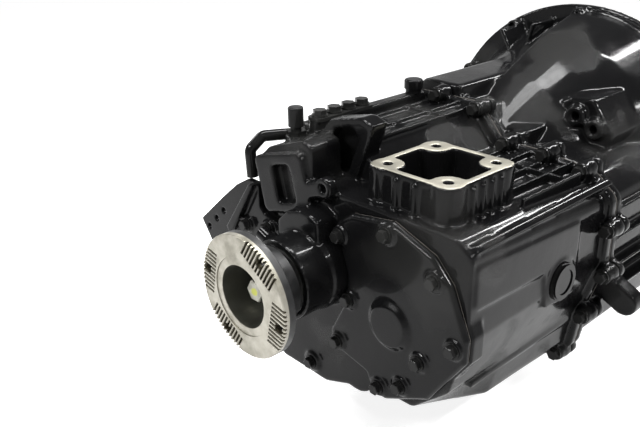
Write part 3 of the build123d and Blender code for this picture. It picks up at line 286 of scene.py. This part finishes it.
def machined_steel():
    """Turned steel, pale and matt, with stains, and painted shade in the grooves between the flange's cross
    teeth; the output flange is painted behind its face.
    """
    s = Shader("machined_steel", BARE, 0.42, 0.75)
    stains = s.ramp(s.noise(22, 5, 0.6), 0.42, 0.68)
    bare = s.mix(stains, BARE, BARE_DARK)
    x = s.axes()[0]
    radius = s.from_axis()
    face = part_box("output_flange")[0].x
    on_flange = s.math("LESS_THAN", x, face + FLANGE_END)
    in_cup = s.math("LESS_THAN", radius, FLANGE_CUP)
    off_cup = s.math("GREATER_THAN", radius, FLANGE_CUP)
    cup = s.product(in_cup, s.ramp(x, face + CUP_EDGE[0], face + CUP_EDGE[1]), on_flange)
    # painted shade: the grooves recessed behind the face, between the cross teeth, turn dark brown
    groove_shade = s.product(
        s.ramp(x, face + TEETH_EDGE[0], face + TEETH_EDGE[1]),
        s.math("GREATER_THAN", radius, TEETH_RING[0]),
        s.math("LESS_THAN", radius, TEETH_RING[1]),
        on_flange,
    )
    bare = s.mix(cup, s.mix(groove_shade, bare, GROOVE_SHADE), CUP_TONE)
    behind = s.ramp(x, face + FLANGE_PAINT[0], face + FLANGE_PAINT[1])
    painted = s.product(behind, off_cup, on_flange)
    s.color(s.mix(painted, bare, BLACK))
    s.link(s.ramp(painted, 0, 1, 0.75, 0.0), s.bsdf.inputs["Metallic"])
    s.rough(s.ramp(s.noise(90, 4), 0.3, 0.7, 0.34, 0.55))
    s.bump(s.noise(900, 2, 0.5, (1.0, 0.12, 0.12)), 0.25, 0.0003)
    s.bump(s.noise(140, 4), 0.15, 0.0004)
    return s.material


def zinc_steel():
    """Zinc-plated bolt, with a ragged dab of yellow torque-check paint where the axis meets its head."""
    s = Shader("zinc_steel", ZINC, 0.38, 0.85)
    ragged = s.math("SUBTRACT", s.from_axis(), s.product(s.noise(150, 3), DAB_RAGGED))
    dab = s.math("SUBTRACT", 1, s.ramp(ragged, *DAB_RADIUS))
    at_rear = s.math("LESS_THAN", s.axes()[0], cad_box[0].x + FLANGE_END)
    base = s.mix(s.ramp(s.noise(70, 4), 0.4, 0.7), ZINC, ZINC_DARK)
    s.color(s.mix(s.product(dab, at_rear), base, YELLOW_DAB))
    s.rough(s.ramp(s.noise(120, 3), 0.3, 0.7, 0.30, 0.50))
    s.bump(s.noise(500, 3), 0.2, 0.0003)
    return s.material


def ground_metal(name, color, dark, roughness, lay):
    """Ground or turned metal: fine lines along a lay, with oil stains."""
    s = Shader(name, color, roughness, 1.0)
    s.color(s.mix(s.ramp(s.noise(30, 4), 0.4, 0.7), color, dark))
    s.rough(s.ramp(s.noise(80, 3), 0.3, 0.7, roughness * 0.8, roughness * 1.4))
    s.bump(s.noise(700, 2, 0.5, lay), 0.2, 0.0003)
    return s.material


def cast_iron():
    """Raw cast iron, grainy and dull."""
    s = Shader("cast_iron", (0.10, 0.10, 0.10), 0.6, 0.7)
    s.color(s.mix(s.noise(80, 4), (0.07, 0.07, 0.07), (0.16, 0.15, 0.14)))
    s.bump(s.noise(500, 4, 0.7), 0.5, 0.0006)
    return s.material


def matt(name, color, light, scale):
    """Matt rubber or paper, mottled at a scale."""
    s = Shader(name, color, 0.8)
    s.color(s.mix(s.noise(scale, 4), color, light))
    s.bump(s.noise(scale * 6, 3), 0.3, 0.0003)
    return s.material


TURNED = (1.0, 0.1, 0.1)  # stretch of the noise that draws turning lines around X
MATERIALS = {
    "black_paint": paint("black_paint", 0.5),
    "machined_steel": machined_steel(),
    "zinc_steel": zinc_steel(),
    "gear_steel": ground_metal("gear_steel", (0.52, 0.52, 0.52), (0.36, 0.35, 0.32), 0.38, TURNED),
    "bearing_steel": ground_metal("bearing_steel", (0.62, 0.62, 0.64), (0.45, 0.44, 0.42), 0.16, TURNED),
    "cast_iron": cast_iron(),
    "brass": ground_metal("brass", (0.72, 0.50, 0.20), (0.45, 0.30, 0.12), 0.30, TURNED),
    "rubber": matt("rubber", (0.012, 0.012, 0.012), (0.03, 0.03, 0.03), 90),
    "gasket": matt("gasket", (0.05, 0.045, 0.04), (0.10, 0.09, 0.08), 120),
}
CASTING_PAINT = {
    "main_case": paint("case_paint", 1.3, tower_zone),
    "bell_housing": paint("bell_paint", 2.0, bell_zone),
    "rear_cover": paint("cover_paint", 0.4),
    "rear_bracket": paint("bracket_paint", 0.4),
}


# --- Castings -------------------------------------------------------------------------------------
# Grid of each casting's skin, in metres, and the number of smoothing passes over it.
CAST_GRID = {"main_case": 0.0020, "bell_housing": 0.0025, "rear_cover": 0.0012, "rear_bracket": 0.0011}
CAST_SMOOTHING = {"main_case": 7, "bell_housing": 7, "rear_cover": 9, "rear_bracket": 8}


def cast_skin(node):
    """A casting's surface with its edges rounded as the foundry leaves them; it stands for the CAD node."""
    draft = bpy.data.objects.new(node + "_draft", nodes[node].data.copy())
    scene.collection.objects.link(draft)
    remesh = draft.modifiers.new("remesh", "REMESH")
    remesh.mode = "VOXEL"
    remesh.voxel_size = CAST_GRID[node]
    remesh.use_smooth_shade = True
    smooth = draft.modifiers.new("smooth", "SMOOTH")
    smooth.factor = 0.5
    smooth.iterations = CAST_SMOOTHING[node]
    made = draft.evaluated_get(bpy.context.evaluated_depsgraph_get())
    mesh = bpy.data.meshes.new_from_object(made)
    bpy.data.objects.remove(draft)
    mesh.materials.clear()
    mesh.materials.append(CASTING_PAINT[node])
    skin = bpy.data.objects.new(node + "_skin", mesh)
    scene.collection.objects.link(skin)
    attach(skin, BODY_OF[node])
    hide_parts(node)


# --- Stage and light ------------------------------------------------------------------------------
FLOOR_SIZE = 60
FLOOR_GLOW = 0.84
# Sky: bright at the horizon (low end of Z), dimmer from a height of about 24 degrees upward.
SKY = {"From Min": 0.06, "From Max": 0.40, "To Min": 0.95, "To Max": 0.18}
# Soft boxes: name, place, width and height, power. The narrow ones draw lines of light on the castings.
LIGHTS = [
    ("top", (-0.3, 0.2, 1.5), (1.1, 0.3), 38),
    ("rear_strip", (-1.7, 0.3, 1.1), (0.9, 0.08), 26),
    ("right_strip", (-0.3, -1.4, 1.3), (1.3, 0.06), 26),
    ("front_strip", (0.7, -0.3, 1.2), (0.08, 1.0), 26),
    ("left_strip", (-0.6, 1.5, 1.0), (1.0, 0.2), 12),
]


def add_light(name, place, size, power):
    """A soft box that faces the middle of the object."""
    target = (cad_box[0] + cad_box[1]) / 2
    data = bpy.data.lights.new(name, "AREA")
    data.shape = "RECTANGLE"
    data.size, data.size_y = size
    data.energy = power
    lamp = bpy.data.objects.new(name, data)
    lamp.location = place
    lamp.rotation_euler = (Vector(place) - target).to_track_quat("Z", "Y").to_euler()
    scene.collection.objects.link(lamp)


def add_world():
    """A plain sky that dims with height."""
    world = bpy.data.worlds.new("world")
    scene.world = world
    world.use_nodes = True
    tree = world.node_tree
    background = tree.nodes["Background"]
    background.inputs["Color"].default_value = (1, 1, 1, 1)
    direction = tree.nodes.new("ShaderNodeTexCoord")
    parts = tree.nodes.new("ShaderNodeSeparateXYZ")
    sky = tree.nodes.new("ShaderNodeMapRange")
    sky.interpolation_type = "SMOOTHSTEP"
    for name, value in SKY.items():
        sky.inputs[name].default_value = value
    tree.links.new(direction.outputs["Generated"], parts.inputs[0])
    tree.links.new(parts.outputs["Z"], sky.inputs["Value"])
    tree.links.new(sky.outputs["Result"], background.inputs["Strength"])


def floor_material():
    """Pale studio floor with a glow of its own, so that it stays white far from the lights."""
    s = Shader("floor", (0.5, 0.5, 0.5), 0.7)
    s.bsdf.inputs["Specular IOR Level"].default_value = 0.2
    s.bsdf.inputs["Emission Color"].default_value = (1, 1, 1, 1)
    s.bsdf.inputs["Emission Strength"].default_value = FLOOR_GLOW
    s.color(s.mix(s.noise(1.5, 3), (0.49, 0.49, 0.49), (0.51, 0.51, 0.51)))
    return s.material


def add_floor():
    """A plain floor under the lowest point of the object."""
    bpy.ops.mesh.primitive_grid_add(
        x_subdivisions=4, y_subdivisions=4, size=FLOOR_SIZE, location=(0, 0, cad_box[0].z),
    )
    floor = bpy.context.object
    floor.name = "floor"
    floor.data.materials.append(floor_material())


add_camera()
for name, node in nodes.items():
    for slot in node.material_slots:
        slot.material = MATERIALS[SLOT_OF[name]]
for name in CAST_GRID:
    cast_skin(name)
add_world()
add_floor()
for light in LIGHTS:
    add_light(*light)
